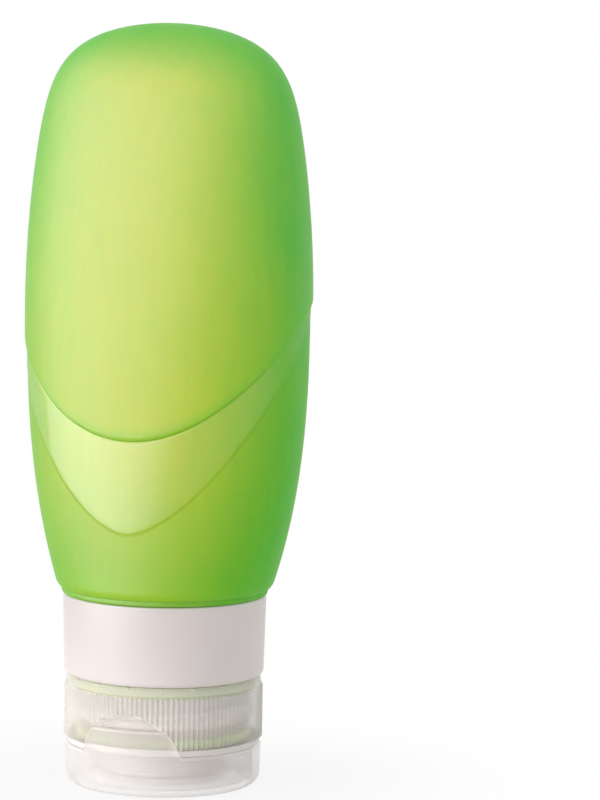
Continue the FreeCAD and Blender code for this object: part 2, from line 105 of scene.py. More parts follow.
RECESS_TILT = np.radians(11.0)
SOCKET_RADIUS = 3.65
SOCKET_DEPTH = 4.05
SOCKET_WALL = 2.4
SETTLING_ROUNDS = 40
BOTTLE_COLUMNS = 288


def smooth(value):
    """Smooth step: 0 below 0, 1 above 1, and 3t^2 - 2t^3 between."""
    t = np.clip(value, 0, 1)
    return t * t * (3 - 2 * t)


def around(count):
    """Equal angles once round a circle."""
    return np.linspace(0, 2 * np.pi, count, endpoint=False)


def turned(profile, angle):
    """Grid of a profile of radius and height turned once round the Z axis."""
    radius, level = profile[:, :1], profile[:, 1:]
    return np.stack([radius * np.cos(angle), radius * np.sin(angle), level + 0 * angle], axis=-1)


def skin(name, points, ring=False, crease=None, **marks):
    """Mesh object from a grid of points in millimetres, rows by columns by xyz.

    Each four neighbours make a quad. The last column joins the first, and with ring the last row
    joins the first row too. Rows that shrink to a point become poles, and faces turn outward.
    Each mark is a number for every point, kept as an attribute of the mesh.
    """
    rows, columns = points.shape[:2]
    index = np.arange(rows * columns).reshape(rows, columns)
    ahead = np.roll(index, -1, axis=1)
    if ring:
        index = np.vstack([index, index[:1]])
        ahead = np.vstack([ahead, ahead[:1]])
    quads = np.stack([index[:-1], ahead[:-1], ahead[1:], index[1:]], axis=-1).reshape(-1, 4)
    mesh = bpy.data.meshes.new(name)
    mesh.from_pydata(points.reshape(-1, 3) * MM, [], quads)
    for mark, values in marks.items():
        layer = mesh.attributes.new(mark, "FLOAT", "POINT")
        layer.data.foreach_set("value", values.astype(np.float32).ravel())
    work = bmesh.new()
    work.from_mesh(mesh)
    bmesh.ops.remove_doubles(work, verts=work.verts, dist=2e-7)
    bmesh.ops.recalc_face_normals(work, faces=work.faces)
    work.to_mesh(mesh)
    work.free()
    mesh.shade_smooth()
    if crease:
        mesh.set_sharp_from_angle(angle=np.radians(crease))
    made = bpy.data.objects.new(name, mesh)
    bpy.context.scene.collection.objects.link(made)
    return made


def bottle_half_width(height, inset):
    """A power curve up to the widest height, then a parabolic taper that ends in a round corner."""
    widest = BOTTLE_HALF_WIDTH - inset
    below = np.clip(1 - height / WIDEST_HEIGHT, 0, 1)
    rise = np.clip((height - WIDEST_HEIGHT) / (BOTTLE_HEIGHT - inset - WIDEST_HEIGHT), 0, 1)
    barrel = widest - (BOTTLE_HALF_WIDTH - FOOT_RADIUS) * below ** BARREL_POWER
    crown = widest * (1 - CROWN_TAPER * rise ** 2) * np.sqrt(1 - rise ** CROWN_POWER)
    return np.where(height < WIDEST_HEIGHT, barrel, crown)


def bottle_half_depth(height, inset):
    """A parabola up to the thickest height, and an ellipse from there to the crown."""
    thickest = BOTTLE_HALF_DEPTH - inset
    below = np.clip(1 - height / THICKEST_HEIGHT, 0, 1)
    rise = np.clip((height - THICKEST_HEIGHT) / (BOTTLE_HEIGHT - inset - THICKEST_HEIGHT), 0, 1)
    shoulder = thickest - (BOTTLE_HALF_DEPTH - FOOT_RADIUS) * below ** 2
    return np.where(height < THICKEST_HEIGHT, shoulder, thickest * np.sqrt(1 - rise ** 2))


def bottle_points(height, inset, turn):
    """Points of the oval section at each height: a superellipse, round at the foot, squarer above."""
    power = 2 + SECTION_SQUARING * np.clip(height / WIDEST_HEIGHT, 0, 1)
    across = np.sign(np.cos(turn)) * np.abs(np.cos(turn)) ** (2 / power)
    along = np.sign(np.sin(turn)) * np.abs(np.sin(turn)) ** (2 / power)
    x = bottle_half_width(height, inset) * across
    y = bottle_half_depth(height, inset) * along
    return np.stack([x, y, BOTTLE_FLOOR + height + np.zeros_like(x)], axis=-1)


def wrap_edge(front, side, back, tilt, power, turn):
    """Height of an edge round the bottle.

    In front it is a power of the distance from the middle, tilted up to the sides; behind it rises
    from the sides with the same slope and flattens out. The section depends on the height, so the
    height is worked out again until it settles.
    """
    height = np.full_like(turn, side)
    for _ in range(SETTLING_ROUNDS):
        place = bottle_points(height, 0, turn)
        deep = place[:, 1] / BOTTLE_HALF_DEPTH
        wide = np.abs(place[:, 0] / BOTTLE_HALF_WIDTH)
        ahead = front + tilt + (side - front - tilt) * wide ** power + tilt * deep
        behind = side + (back - side) * (1 - np.clip(1 - deep, 0, 1) ** (tilt / (back - side)))
        height = np.where(deep < 0, ahead, behind)
    return height


def pressed_in(points, radius, soft, floor):
    """Points inside a circle of the recess moved along its axis to floor, with a soft edge outside it.

    Points further than the reach behind the recess belong to the front of the bottle and stay.
    """
    outward = np.array([0, np.cos(RECESS_TILT), np.sin(RECESS_TILT)])
    upward = np.array([0, -np.sin(RECESS_TILT), np.cos(RECESS_TILT)])
    local = points - RECESS_MIDDLE
    out = local @ outward
    away = np.hypot(local[..., 0], local @ upward)
    sunk = smooth((radius + soft - away) / soft) * (out > -RECESS_REACH)
    return points + (np.minimum(floor - out, 0) * sunk)[..., None] * outward


def steps(start, stop, count):
    """Equal steps from start to stop, one to a row and the same in every column."""
    return np.linspace(start, stop, count)[:, None] * np.ones(BOTTLE_COLUMNS)


def climb(start, stop, count):
    """Equal steps of height from start up to, and without, stop; either may vary over the columns."""
    share = np.linspace(0, 1, count, endpoint=False)[:, None]
    return start + (stop - start) * share * np.ones(BOTTLE_COLUMNS)


def crown_heights(inset, count):
    """Heights from just above the widest place to the top: a power of a sine, closest at the top."""
    rise = np.sin(steps(CROWN_START, np.pi / 2, count)) ** (2 / CROWN_POWER)
    return WIDEST_HEIGHT + (BOTTLE_HEIGHT - inset - WIDEST_HEIGHT) * rise


def thinness(height, inset, place):
    """Painted glow and painted shade, from 0 to 1, used as the share of the pale green.

    The painted glow stands for light shining through the wall, a power of how far a place lies to the
    front or back. Painted shade lowers it towards the crown and the foot, most at the lip, and along the
    hood's edge.
    """
    flat = np.abs(place[..., 1]) / np.maximum(bottle_half_depth(height, inset), 0.01)
    flat_power = 1.7 + 0.7 * smooth((height - 50) / 30)
    at_crown = smooth((BOTTLE_HEIGHT + 2 - height) / 14)
    at_foot = 0.6 + 0.4 * smooth((height - 4) / 26)
    at_lip = 0.4 + 0.6 * smooth(height / 1.5)
    # Painted shade along the hood's edge, where the hem overhangs the band.
    hem_shade = 0.5 * np.exp(-((height - hood_edge) / 1.5) ** 2) * (height >= hood_edge)
    return flat ** flat_power * at_crown * (at_foot * at_lip) * (1 - hem_shade)


turn = around(BOTTLE_COLUMNS)
hood_edge = wrap_edge(front=30.35, side=52.6, back=56.6, tilt=11.9, power=2.0, turn=turn)
band_edge = wrap_edge(front=13.3, side=49.8, back=54.0, tilt=18.55, power=1.6, turn=turn)
band_width = hood_edge - band_edge
band_hem = np.minimum(BAND_HEM, 0.4 * band_width)
groove_width = np.minimum(GROOVE_WIDTH, 0.2 * band_width)
barrel_in = HOOD_STEP
band_in = HOOD_STEP - BAND_STEP
groove_in = band_in + GROOVE_DEPTH
quarter = steps(0, np.pi / 2, 10)
rounding = 1 - np.cos(quarter)
standing = 1 - np.sin(quarter)
foot_turn = steps(FOOT_START, np.pi / 2, 8)
foot_high = FOOT_ROUND * (1 - np.cos(foot_turn))
foot_in = barrel_in + FOOT_ROUND * (1 - np.sin(foot_turn))
in_groove = steps(0, 1, 5)
groove_high = hood_edge - groove_width * (1 - in_groove)
crown = crown_heights(0, 64)
foot_lip = np.array([(0, 3.1), (0, 1.6), (0.05, 1.2), (0.2, 1.05), (0.5, 1.07), (0.8, 1.18), (0.95, 1.28)])
lip_high, lip_in = (column[:, None] * np.ones(BOTTLE_COLUMNS) for column in foot_lip.T)

# Each stretch of the outside, from the foot up: its heights, how far it lies inside the hood's
# form, how polished it is, and how rough.
stretches = [
    (lip_high, lip_in, 0, FOOT_LIP_ROUGH),
    (foot_high, foot_in, 0, BARREL_ROUGH),
    (climb(FOOT_ROUND + 0.6, band_edge - 0.5, 44), barrel_in, 0, BARREL_ROUGH),
    (band_edge + band_hem * rounding, band_in + BAND_STEP * standing, np.sin(quarter), HOOD_ROUGH),
    (climb(band_edge + 1.1 * band_hem, hood_edge - groove_width, 22), band_in, 1, BAND_ROUGH),
    (groove_high, band_in + GROOVE_DEPTH * smooth(in_groove), 1 - in_groove, GROOVE_ROUGH),
    (hood_edge + HOOD_HEM * rounding, groove_in * standing, 0, HOOD_ROUGH),
    (climb(hood_edge + HOOD_HEM + 0.3, HOOD_EVEN_HEIGHT, 34), 0, 0, HOOD_ROUGH),
    (climb(HOOD_EVEN_HEIGHT, crown[0, 0], 40), 0, 0, HOOD_ROUGH),
    (crown, 0, 0, HOOD_ROUGH),
]
outer_high, outer_in, outer_polish, outer_rough = (
    np.vstack([stretch[column] + 0 * stretch[0] for stretch in stretches]) for column in range(4))
outer = bottle_points(outer_high, outer_in, turn)
outer_polish *= 1 - 0.85 * smooth((np.abs(outer[..., 0]) / BOTTLE_HALF_WIDTH - 0.86) / 0.06)
# Painted glow and painted shade on the outside, kept as the share of the pale green.
outer_thin = thinness(outer_high, outer_in, outer)
outer = pressed_in(outer, RECESS_RADIUS - RECESS_SOFT_EDGE / 2, RECESS_SOFT_EDGE, 0)
outer = pressed_in(outer, SOCKET_RADIUS, 0.4, -SOCKET_DEPTH)

inner_in = BOTTLE_WALL + HOOD_STEP
inner_crown = crown_heights(inner_in, 30)[::-1]
inner_high = np.vstack([inner_crown, climb(inner_crown[-1, 0] - 2, BOTTLE_WALL, 30)])
inner = bottle_points(inner_high, inner_in, turn)
inner = pressed_in(inner, RECESS_RADIUS + BOTTLE_WALL, RECESS_SOFT_EDGE, -BOTTLE_WALL)
inner = pressed_in(inner, SOCKET_RADIUS + SOCKET_WALL, 1.0, -SOCKET_DEPTH - SOCKET_WALL)

mouth = turned(np.array([
    (MOUTH_BORE, BOTTLE_FLOOR + BOTTLE_WALL), (MOUTH_BORE, MOUTH_BOTTOM + 0.1),
    (MOUTH_BORE + 0.1, MOUTH_BOTTOM), (FLANGE_RADIUS - 0.15, MOUTH_BOTTOM),
    (FLANGE_RADIUS, MOUTH_BOTTOM + 0.15), (FLANGE_RADIUS, FLANGE_TOP - 0.15),
    (FLANGE_RADIUS - 0.15, FLANGE_TOP), (MOUTH_RADIUS, FLANGE_TOP),
    (MOUTH_RADIUS, BOTTLE_FLOOR - 0.1), (MOUTH_RADIUS + 0.1, BOTTLE_FLOOR),
]), turn)
hidden = np.zeros((len(inner) + len(mouth), BOTTLE_COLUMNS))
# The hollow and the mouth get fixed shares of the pale green; the painted glow and shade are only outside.
hidden_thin = np.repeat([HOLLOW_PALE_SHARE, MOUTH_PALE_SHARE], [len(inner), len(mouth)])[:, None] + hidden
bottle = skin(
    "silicone_bottle", np.concatenate([inner, mouth, outer]),
    polish=np.concatenate([hidden, outer_polish]),
    rough=np.concatenate([hidden + HOOD_ROUGH, outer_rough]),
    thin=np.concatenate([hidden_thin, outer_thin]),
)


class Signal:
    """A socket's value in an expression: each operator adds the Math node that works it out."""

    def __init__(self, finish, socket):
        self.finish = finish
        self.socket = socket

    def math(self, operation, first, second):
        return self.finish.node("ShaderNodeMath", {"operation": operation}, {0: first, 1: second})

    def __add__(self, other):
        return self.math("ADD", self, other)

    def __radd__(self, other):
        return self.math("ADD", other, self)

    def __sub__(self, other):
        return self.math("SUBTRACT", self, other)

    def __rsub__(self, other):
        return self.math("SUBTRACT", other, self)

    def __mul__(self, other):
        return self.math("MULTIPLY", self, other)

    def __rmul__(self, other):
        return self.math("MULTIPLY", other, self)


class Finish:
    """A material, lamp or sky put together node by node."""

    def __init__(self, owner):
        owner.use_nodes = True
        self.owner = owner
        self.tree = owner.node_tree
        self.tree.nodes.clear()

    def node(self, kind, settings, sockets, output=0):
        """Adds a node, with its settings first and then its sockets, and returns an output as a Signal."""
        made = self.tree.nodes.new(kind)
        for setting, value in settings.items():
            setattr(made, setting, value)
        for name, value in sockets.items():
            if isinstance(value, Signal):
                self.tree.links.new(value.socket, made.inputs[name])
            else:
                made.inputs[name].default_value = value
        return Signal(self, made.outputs[output] if made.outputs else None)

    def place(self):
        """Object coordinates, in metres."""
        return self.node("ShaderNodeTexCoord", {}, {}, "Object")

    def mark(self, name):
        """Number that the mesh keeps under a name, or 0 where it keeps none."""
        return self.node("ShaderNodeAttribute", {"attribute_name": name}, {}, "Fac")

    def grain(self, size, detail=2.0, place=None):
        """Noise from 0 to 1 with features of the given size in millimetres."""
        sockets = {"Vector": place or self.place(), "Scale": 1 / (size * MM), "Detail": detail}
        return self.node("ShaderNodeTexNoise", {}, sockets)

    def ramp(self, value, start, stop, low=0.0, curve="LINEAR"):
        """Rise from low, where the value is start, to 1, where it is stop."""
        span = {"Value": value, "From Min": start, "From Max": stop, "To Min": low, "To Max": 1.0}
        return self.node("ShaderNodeMapRange", {"interpolation_type": curve}, span)

    def mixed(self, share, first, second):
        """Colour between two colours."""
        return self.node("ShaderNodeMix", {"data_type": "RGBA"}, {0: share, 6: first, 7: second}, 2)

    def bumped(self, height, depth):
        """Normal bent by a height from 0 to 1 that stands for a depth in millimetres."""
        return self.node("ShaderNodeBump", {}, {"Strength": 1.0, "Distance": depth * MM, "Height": height})

    def surface(self, **sockets):
        """The finished material: a Principled surface with the given sockets."""
        named = {name.replace("_", " "): value for name, value in sockets.items()}
        shader = self.node("ShaderNodeBsdfPrincipled", {}, named)
        self.node("ShaderNodeOutputMaterial", {}, {"Surface": shader})
        return self.owner


def paint(red, green, blue):
    """Linear colour from the 0 to 255 numbers of a screen colour."""
    share = np.array([red, green, blue]) / 255
    linear = np.where(share <= 0.04045, share / 12.92, ((share + 0.055) / 1.055) ** 2.4)
    return (*linear.tolist(), 1.0)


DEEP_GREEN = paint(96, 208, 44)
PALE_GREEN = paint(208, 228, 54)
STREAK_STRETCH = (1, 1, 0.12)
silicone = Finish(bpy.data.materials.new("green_silicone"))
polished = silicone.mark("polish")
cloud = silicone.grain(14.0)
drawn = {0: silicone.place(), 1: STREAK_STRETCH}
streak = silicone.grain(1.6, 3.0, silicone.node("ShaderNodeVectorMath", {"operation": "MULTIPLY"}, drawn))
speck = silicone.grain(0.35, 3.0)
facing = silicone.node("ShaderNodeLayerWeight", {}, {"Blend": 0.5}, "Facing")
edge_on = silicone.ramp(facing, 0.55, 0.8)
# The green runs from deep to pale by the painted glow and painted shade kept in the mesh, with a random
# cloudy and streaky tone on top.
tint = silicone.mark("thin") + (cloud - 0.5) * 0.25 + (streak - 0.5) * 0.2
green_silicone = silicone.surface(
    Base_Color=silicone.mixed(tint, DEEP_GREEN, PALE_GREEN),
    Roughness=silicone.mark("rough") + (speck - 0.5) * (1 - polished) * 0.1,
    Normal=silicone.bumped(speck * (1 - polished), 0.02),
    Coat_Weight=polished * (1 - edge_on * 0.9),
    Coat_Roughness=0.05,
    Coat_IOR=1.4,
    Subsurface_Weight=1.0,
    Subsurface_Radius=(0.6, 1.0, 0.25),
    Subsurface_Scale=5.0 * MM,
    Specular_IOR_Level=1.0,
    IOR=1.43,
)
bottle.data.materials.append(green_silicone)
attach(bottle, "bottle")
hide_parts("bottle_shell")


# Suction cup. A shallow dish of clearer, paler silicone on a short stem, moulded by itself and pushed
# into the socket of the recess in the back, so the bottle can hang on a mirror.

CUP_COLUMNS = 144
CUP_GREEN = paint(196, 224, 112)
CUP_PALE = paint(238, 247, 196)
cup_profile = np.array([
    (0.0, -4.0), (3.2, -4.0), (3.6, -3.6), (3.6, 0.1), (3.8, 0.3), (8.6, 0.3), (9.6, 0.4), (10.4, 0.75),
    (11.0, 1.25), (14.45, 3.85), (14.75, 4.15), (14.8, 4.28), (14.74, 4.38), (14.62, 4.4), (14.2, 4.4),
    (14.05, 4.34), (13.6, 3.9), (11.6, 2.5), (10.6, 1.95), (9.4, 1.68), (8.4, 1.6), (3.0, 1.6), (2.4, 1.72),
    (1.2, 1.8), (0.0, 1.82),
])
cup_axes = np.array([
    [1, 0, 0],
    [0, np.sin(RECESS_TILT), -np.cos(RECESS_TILT)],
    [0, np.cos(RECESS_TILT), np.sin(RECESS_TILT)],
])
cup_grid = turned(cup_profile, around(CUP_COLUMNS))
# Painted highlight and painted shade: the lip is painted palest, as a painted highlight, and the dish's
# sloped wall greener, as painted shade, with the floor between.
cup_pale = np.interp(cup_grid[..., 2], [0.3, 1.6, 1.9, 3.4, 4.1], [0.2, 0.55, 0.2, 0.3, 1.0])
cup = skin("back_suction_cup", cup_grid @ cup_axes + RECESS_MIDDLE, crease=50, pale=cup_pale)
clear = Finish(bpy.data.materials.new("clear_silicone"))
clear_grain = clear.grain(0.8)
# The clear green goes pale by the painted highlight and shade, with a random cloudy tone on top.
clear_tint = clear.mark("pale") + (clear.grain(9.0) - 0.5) * 0.2
clear_silicone = clear.surface(
    Base_Color=clear.mixed(clear_tint, CUP_GREEN, CUP_PALE),
    Roughness=0.2 + clear_grain * 0.1,
    Normal=clear.bumped(clear_grain, 0.006),
    Coat_Weight=0.5 + clear_grain * 0.1,
    Subsurface_Weight=0.6,
    Subsurface_Radius=(0.8, 1.0, 0.4),
    Subsurface_Scale=1.2 * MM,
    IOR=1.41,
)
cup.data.materials.append(clear_silicone)
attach(cup, "bottle")
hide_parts("suction_cup")


# Threaded neck. A rigid tube in milky plastic: its sleeve, with three grip grooves, plugs into the
# soft mouth, a flange stops it, and its foot carries a coarse thread of a little over one turn.

NECK_BORE = 12.85
SLEEVE_RADIUS = 14.35
SLEEVE_LENGTH = 14.0
GRIP_RADIUS = 13.95
THREAD_ROOT = 15.3
THREAD_TIP = 16.15
THREAD_LEAD = 4.23
THREAD_BASE = 1.5
NECK_THREAD_TURN = 2.35 * np.pi
NECK_BOTTOM = extent("threaded_neck")[0, 2]
NECK_TOP = MOUTH_BOTTOM + SLEEVE_LENGTH
NECK_FLANGE = MOUTH_BOTTOM - 1.2
THREAD_START = NECK_BOTTOM + 0.9
NECK_COLUMNS = 144
grip = ((SLEEVE_RADIUS, -0.6), (GRIP_RADIUS, -0.4), (GRIP_RADIUS, 0.4), (SLEEVE_RADIUS, 0.6))
grip_grooves = [
    (radius, MOUTH_BOTTOM + SLEEVE_LENGTH / 4 * place + offset)
    for place in (1, 2, 3)
    for radius, offset in grip
]
neck_profile = np.array([
    (NECK_BORE + 0.1, NECK_BOTTOM), (THREAD_ROOT - 0.2, NECK_BOTTOM), (THREAD_ROOT, NECK_BOTTOM + 0.2),
    (THREAD_ROOT, NECK_FLANGE - 0.1), (THREAD_ROOT + 0.1, NECK_FLANGE), (THREAD_TIP - 0.15, NECK_FLANGE),
    (THREAD_TIP, NECK_FLANGE + 0.15), (THREAD_TIP, MOUTH_BOTTOM - 0.15), (THREAD_TIP - 0.15, MOUTH_BOTTOM),
    (SLEEVE_RADIUS + 0.15, MOUTH_BOTTOM), (SLEEVE_RADIUS, MOUTH_BOTTOM + 0.15), *grip_grooves,
    (SLEEVE_RADIUS, NECK_TOP - 0.2), (SLEEVE_RADIUS - 0.2, NECK_TOP), (NECK_BORE + 0.15, NECK_TOP),
    (NECK_BORE, NECK_TOP - 0.15), (NECK_BORE, NECK_BOTTOM + 0.1),
])
neck = skin("neck_tube", turned(neck_profile, around(NECK_COLUMNS)), ring=True, crease=35)


def thread(name, root, tip, finish, level):
    """Helical ridge from angle 0 to finish: a trapezium from the root to the tip radius.

    It rises by the lead in each turn, fades at both ends, and is sunk a little into what carries it.
    """
    angle = np.linspace(0, finish, 160)[:, None]
    from_end = np.minimum(angle, finish - angle) / finish
    height = (tip - root) * smooth(from_end / 0.08)
    across = np.array([-0.5, -0.5, -0.24, 0.24, 0.5, 0.5]) * THREAD_BASE * (from_end > 0)
    stand = np.array([0.0, 0.0, 1.0, 1.0, 0.0, 0.0])
    sunk = np.array([0.3, 0.0, 0.0, 0.0, 0.0, 0.3]) * np.sign(root - tip) * (from_end > 0)
    radius = root + height * stand + sunk
    rise = level + THREAD_LEAD * angle / (2 * np.pi) + across
    return skin(name, np.stack([radius * np.cos(angle), radius * np.sin(angle), rise], axis=-1), crease=40)


# Painted shade: the plastic is painted a little darker in a ring just above the washer, where the
# cap lets least light in.
RING_BOTTOM = 10.6 * MM
RING_TOP = 12.6 * MM
RING_SHADE = paint(196, 178, 166)
neck_thread = thread("neck_thread", THREAD_ROOT, THREAD_TIP, NECK_THREAD_TURN, THREAD_START)
milky = Finish(bpy.data.materials.new("milky_plastic"))
milky_grain = milky.grain(0.6)
milky_level = milky.node("ShaderNodeSeparateXYZ", {}, {0: milky.place()}, "Z")
ring_foot = milky.ramp(milky_level, RING_BOTTOM, RING_BOTTOM + 0.3 * MM)
ring_head = milky.ramp(milky_level, RING_TOP, RING_TOP - 0.4 * MM)
milky_pale = milky.mixed(milky.grain(6.0), paint(246, 239, 234), paint(250, 245, 240))
milky_plastic = milky.surface(
    Base_Color=milky.mixed(ring_foot * ring_head, milky_pale, RING_SHADE),
    Roughness=0.4 + milky_grain * 0.1,
    Normal=milky.bumped(milky_grain, 0.01),
    Subsurface_Weight=0.5,
    Subsurface_Radius=(1.0, 0.95, 0.85),
    Subsurface_Scale=2.0 * MM,
    IOR=1.49,
)
for piece in (neck, neck_thread):
    piece.data.materials.append(milky_plastic)
    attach(piece, "bottle")
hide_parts("threaded_neck")


# Collar. A white rigid ring round the mouth, injection moulded with a little draft, satin outside.
# The soft foot of the bottle sits on its top edge and the mouth's flange holds it from below.

COLLAR_FOOT = 18.7
COLLAR_HEAD = 19.0
COLLAR_BORE = 16.5
COLLAR_FOOT_ROUND = 1.0
COLLAR_FOOT_LEVEL = CAP_TOP + 0.12
COLLAR_HEAD_ROUND = 0.5
COLLAR_COLUMNS = 216
arc = np.linspace(0, np.pi / 2, 7)
collar_profile = np.vstack([
    np.column_stack([COLLAR_FOOT - COLLAR_FOOT_ROUND * (1 - np.sin(arc)),
                     COLLAR_FOOT_LEVEL + COLLAR_FOOT_ROUND * (1 - np.cos(arc))]),
    np.column_stack([COLLAR_HEAD - COLLAR_HEAD_ROUND * (1 - np.cos(arc)),
                     COLLAR_TOP - COLLAR_HEAD_ROUND * (1 - np.sin(arc))]),
    [(COLLAR_BORE + 0.15, COLLAR_TOP), (COLLAR_BORE, COLLAR_TOP - 0.15)],
    [(COLLAR_BORE, COLLAR_FOOT_LEVEL + 0.15), (COLLAR_BORE + 0.15, COLLAR_FOOT_LEVEL)],
])
collar = skin("white_collar", turned(collar_profile, around(COLLAR_COLUMNS)), ring=True, crease=40)
white = Finish(bpy.data.materials.new("white_plastic"))
white_grain = white.grain(0.5)
collar.data.materials.append(white.surface(
    Base_Color=white.mixed(white.grain(11.0), paint(238, 228, 227), paint(242, 233, 232)),
    Roughness=0.36 + white_grain * 0.08,
    Normal=white.bumped(white_grain, 0.006),
    Subsurface_Weight=0.3,
    Subsurface_Radius=(1.0, 0.9, 0.85),
    Subsurface_Scale=1.0 * MM,
    IOR=1.5,
))
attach(collar, "collar")
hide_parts("neck_collar")


# Screw cap. Frosted polypropylene, moulded in one: skirt with fine upright ribs between a plain foot
# and a plain upper band with small lugs on its bevel, a thumb scoop in front, a smooth hinge panel
# behind, a deck, and the spout turret that reaches down into the lid.

LID_HEIGHT = 7.7
CAP_BOTTOM = LID_HEIGHT + 0.15
CAP_ROOT = 18.2
CAP_FOOT_RADIUS = 17.8
CAP_BORE = 16.5
RIB_HEIGHT = 0.4
RIB_COUNT = 120
RIB_BOTTOM = CAP_BOTTOM + 1.05
RIB_TOP = CAP_TOP - 1.7
BEVEL_HEIGHT = 0.6
BEVEL_DEPTH = 0.5
LUG_COUNT = 18
LUG_HALF_WIDTH = 0.35
LUG_HEIGHT = 0.8
LIP_BORE = 17.3
LIP_BOTTOM = CAP_TOP - 2.3
DECK_TOP = 8.85
TURRET_RADIUS = 11.7
TURRET_BORE = 10.4
TURRET_BOTTOM = 2.25
SPOUT_RADIUS = 5.0
SPOUT_TOP = 3.45
CAP_THREAD_TIP = 15.65
CAP_THREAD_TURN = 2.5 * np.pi
THUMB_RADIUS = 10.26
THUMB_LEVEL = CAP_BOTTOM - 2.31
THUMB_FLOOR = 17.1
THUMB_SLOPE = 1.3
THUMB_LINES = 0.08
THUMB_LINE_PITCH = 0.6
PANEL_RADIUS = 15.1
PANEL_LEVEL = CAP_BOTTOM - 7.7
HINGE_LEVEL = LID_HEIGHT + 0.075
POCKET_FLOOR = 17.4
STRAP_GAP = 0.15
STRAP_SPAN = 9.6
STRAP_HALF_HEIGHT = 3.9
FILM_SPAN = 3.8
FILM_HALF_HEIGHT = 0.7
EDGE_BLUR = 0.12
CAP_COLUMNS = 720


def flare(across):
    """Half height of the hinge outline: flat along the film, then a curve that opens to the strap's end."""
    share = (np.clip(np.abs(across), FILM_SPAN, STRAP_SPAN) - FILM_SPAN) / (STRAP_SPAN - FILM_SPAN)
    return FILM_HALF_HEIGHT + (STRAP_HALF_HEIGHT - FILM_HALF_HEIGHT) * (0.36 * share + 0.64 * share ** 2)


def inside(distance):
    """1 where the distance inside an outline is above 0 and 0 where it is below, over a narrow edge."""
    return smooth(distance / EDGE_BLUR + 0.5)


def pocket_depth(across, level):
    """Share of the hinge pocket's depth at a place on the wall: 1 inside its outline and 0 outside."""
    tall = inside(flare(across) + STRAP_GAP - np.abs(level - HINGE_LEVEL))
    wide = inside(STRAP_SPAN + STRAP_GAP - np.abs(across))
    return tall * wide


cap_angle = around(CAP_COLUMNS)
cap_front = np.sin(cap_angle) < 0


def cap_wall(level):
    """Outside radius of the skirt over height and angle, and how dense the plastic looks there.

    From the foot up come the plain foot, ribs, the plain band and lugs, and cut into them the scoop,
    the smooth panel and the pocket. Ribs, the upper band and the scoop's edge look denser, the scoop
    clearer.
    """
    z = level[:, None] * np.ones(CAP_COLUMNS)
    x = CAP_ROOT * np.cos(cap_angle) * np.ones_like(z)
    tooth = np.abs((cap_angle * RIB_COUNT / (2 * np.pi)) % 1 * 2 - 1)
    above_foot = smooth((z - RIB_BOTTOM) / 0.2)
    ribbed = smooth((RIB_TOP - z) / 0.35) * above_foot
    panel = np.where(cap_front, 0, smooth((PANEL_RADIUS - np.hypot(x, z - PANEL_LEVEL)) / 0.25))
    radius = CAP_FOOT_RADIUS + (CAP_ROOT - CAP_FOOT_RADIUS) * above_foot
    radius = radius + RIB_HEIGHT * tooth * ribbed * (1 - panel)
    lug_turn = (cap_angle * LUG_COUNT / (2 * np.pi)) % 1 - 0.5
    lug = inside(LUG_HALF_WIDTH - np.abs(lug_turn) * 2 * np.pi / LUG_COUNT * CAP_ROOT)
    bevel = BEVEL_DEPTH * np.clip((z - (CAP_TOP - BEVEL_HEIGHT)) / BEVEL_HEIGHT, 0, 1)
    radius = radius - bevel * (1 - lug * LUG_HEIGHT)
    in_thumb = THUMB_RADIUS - np.hypot(x, z - THUMB_LEVEL)
    scoop = np.where(cap_front, smooth(in_thumb / THUMB_SLOPE), 0)
    lines = THUMB_LINES * np.cos(2 * np.pi * (z - CAP_BOTTOM) / THUMB_LINE_PITCH)
    radius = radius + (THUMB_FLOOR + lines - radius) * scoop
    pocket = np.where(cap_front, 0, pocket_depth(x, z))
    scoop_rim = 4 * scoop * (1 - scoop)
    rib_dense = (0.12 + 0.06 * tooth * (1 - panel)) * ribbed * (1 - scoop)
    band_dense = 0.45 * smooth((z - RIB_TOP) / 0.3)
    dense = rib_dense + band_dense + 0.4 * scoop_rim - 0.2 * scoop
    return radius + (POCKET_FLOOR - radius) * pocket, dense


skirt_level = np.concatenate([
    np.linspace(CAP_BOTTOM + 0.05, RIB_BOTTOM - 0.05, 6), np.linspace(RIB_BOTTOM, RIB_BOTTOM + 0.25, 5),
    np.linspace(RIB_BOTTOM + 0.4, CAP_TOP - 0.7, 72), np.linspace(CAP_TOP - BEVEL_HEIGHT, CAP_TOP, 6),
])
skirt_radius, skirt_dense = cap_wall(skirt_level)
cap_inside = np.array([
    (LIP_BORE + 0.02, CAP_TOP), (LIP_BORE, CAP_TOP - 0.1), (LIP_BORE, LIP_BOTTOM), (CAP_BORE, LIP_BOTTOM),
    (CAP_BORE, LIP_BOTTOM - 0.1), (CAP_BORE, DECK_TOP + 0.3), (CAP_BORE - 0.3, DECK_TOP),
    (TURRET_BORE + 0.1, DECK_TOP), (TURRET_BORE, DECK_TOP - 0.1), (TURRET_BORE, SPOUT_TOP + 0.1),
    (TURRET_BORE - 0.1, SPOUT_TOP), (SPOUT_RADIUS + 0.1, SPOUT_TOP), (SPOUT_RADIUS, SPOUT_TOP - 0.1),
    (SPOUT_RADIUS, TURRET_BOTTOM + 0.1), (SPOUT_RADIUS + 0.1, TURRET_BOTTOM),
    (TURRET_RADIUS - 0.9, TURRET_BOTTOM), (TURRET_RADIUS - 0.46, TURRET_BOTTOM + 0.11),
    (TURRET_RADIUS - 0.15, TURRET_BOTTOM + 0.41), (TURRET_RADIUS - 0.02, TURRET_BOTTOM + 0.75),
    (TURRET_RADIUS, TURRET_BOTTOM + 1.05), (TURRET_RADIUS, CAP_BOTTOM - 0.4),
    (TURRET_RADIUS + 0.2, CAP_BOTTOM - 0.1), (TURRET_RADIUS + 0.5, CAP_BOTTOM),
])
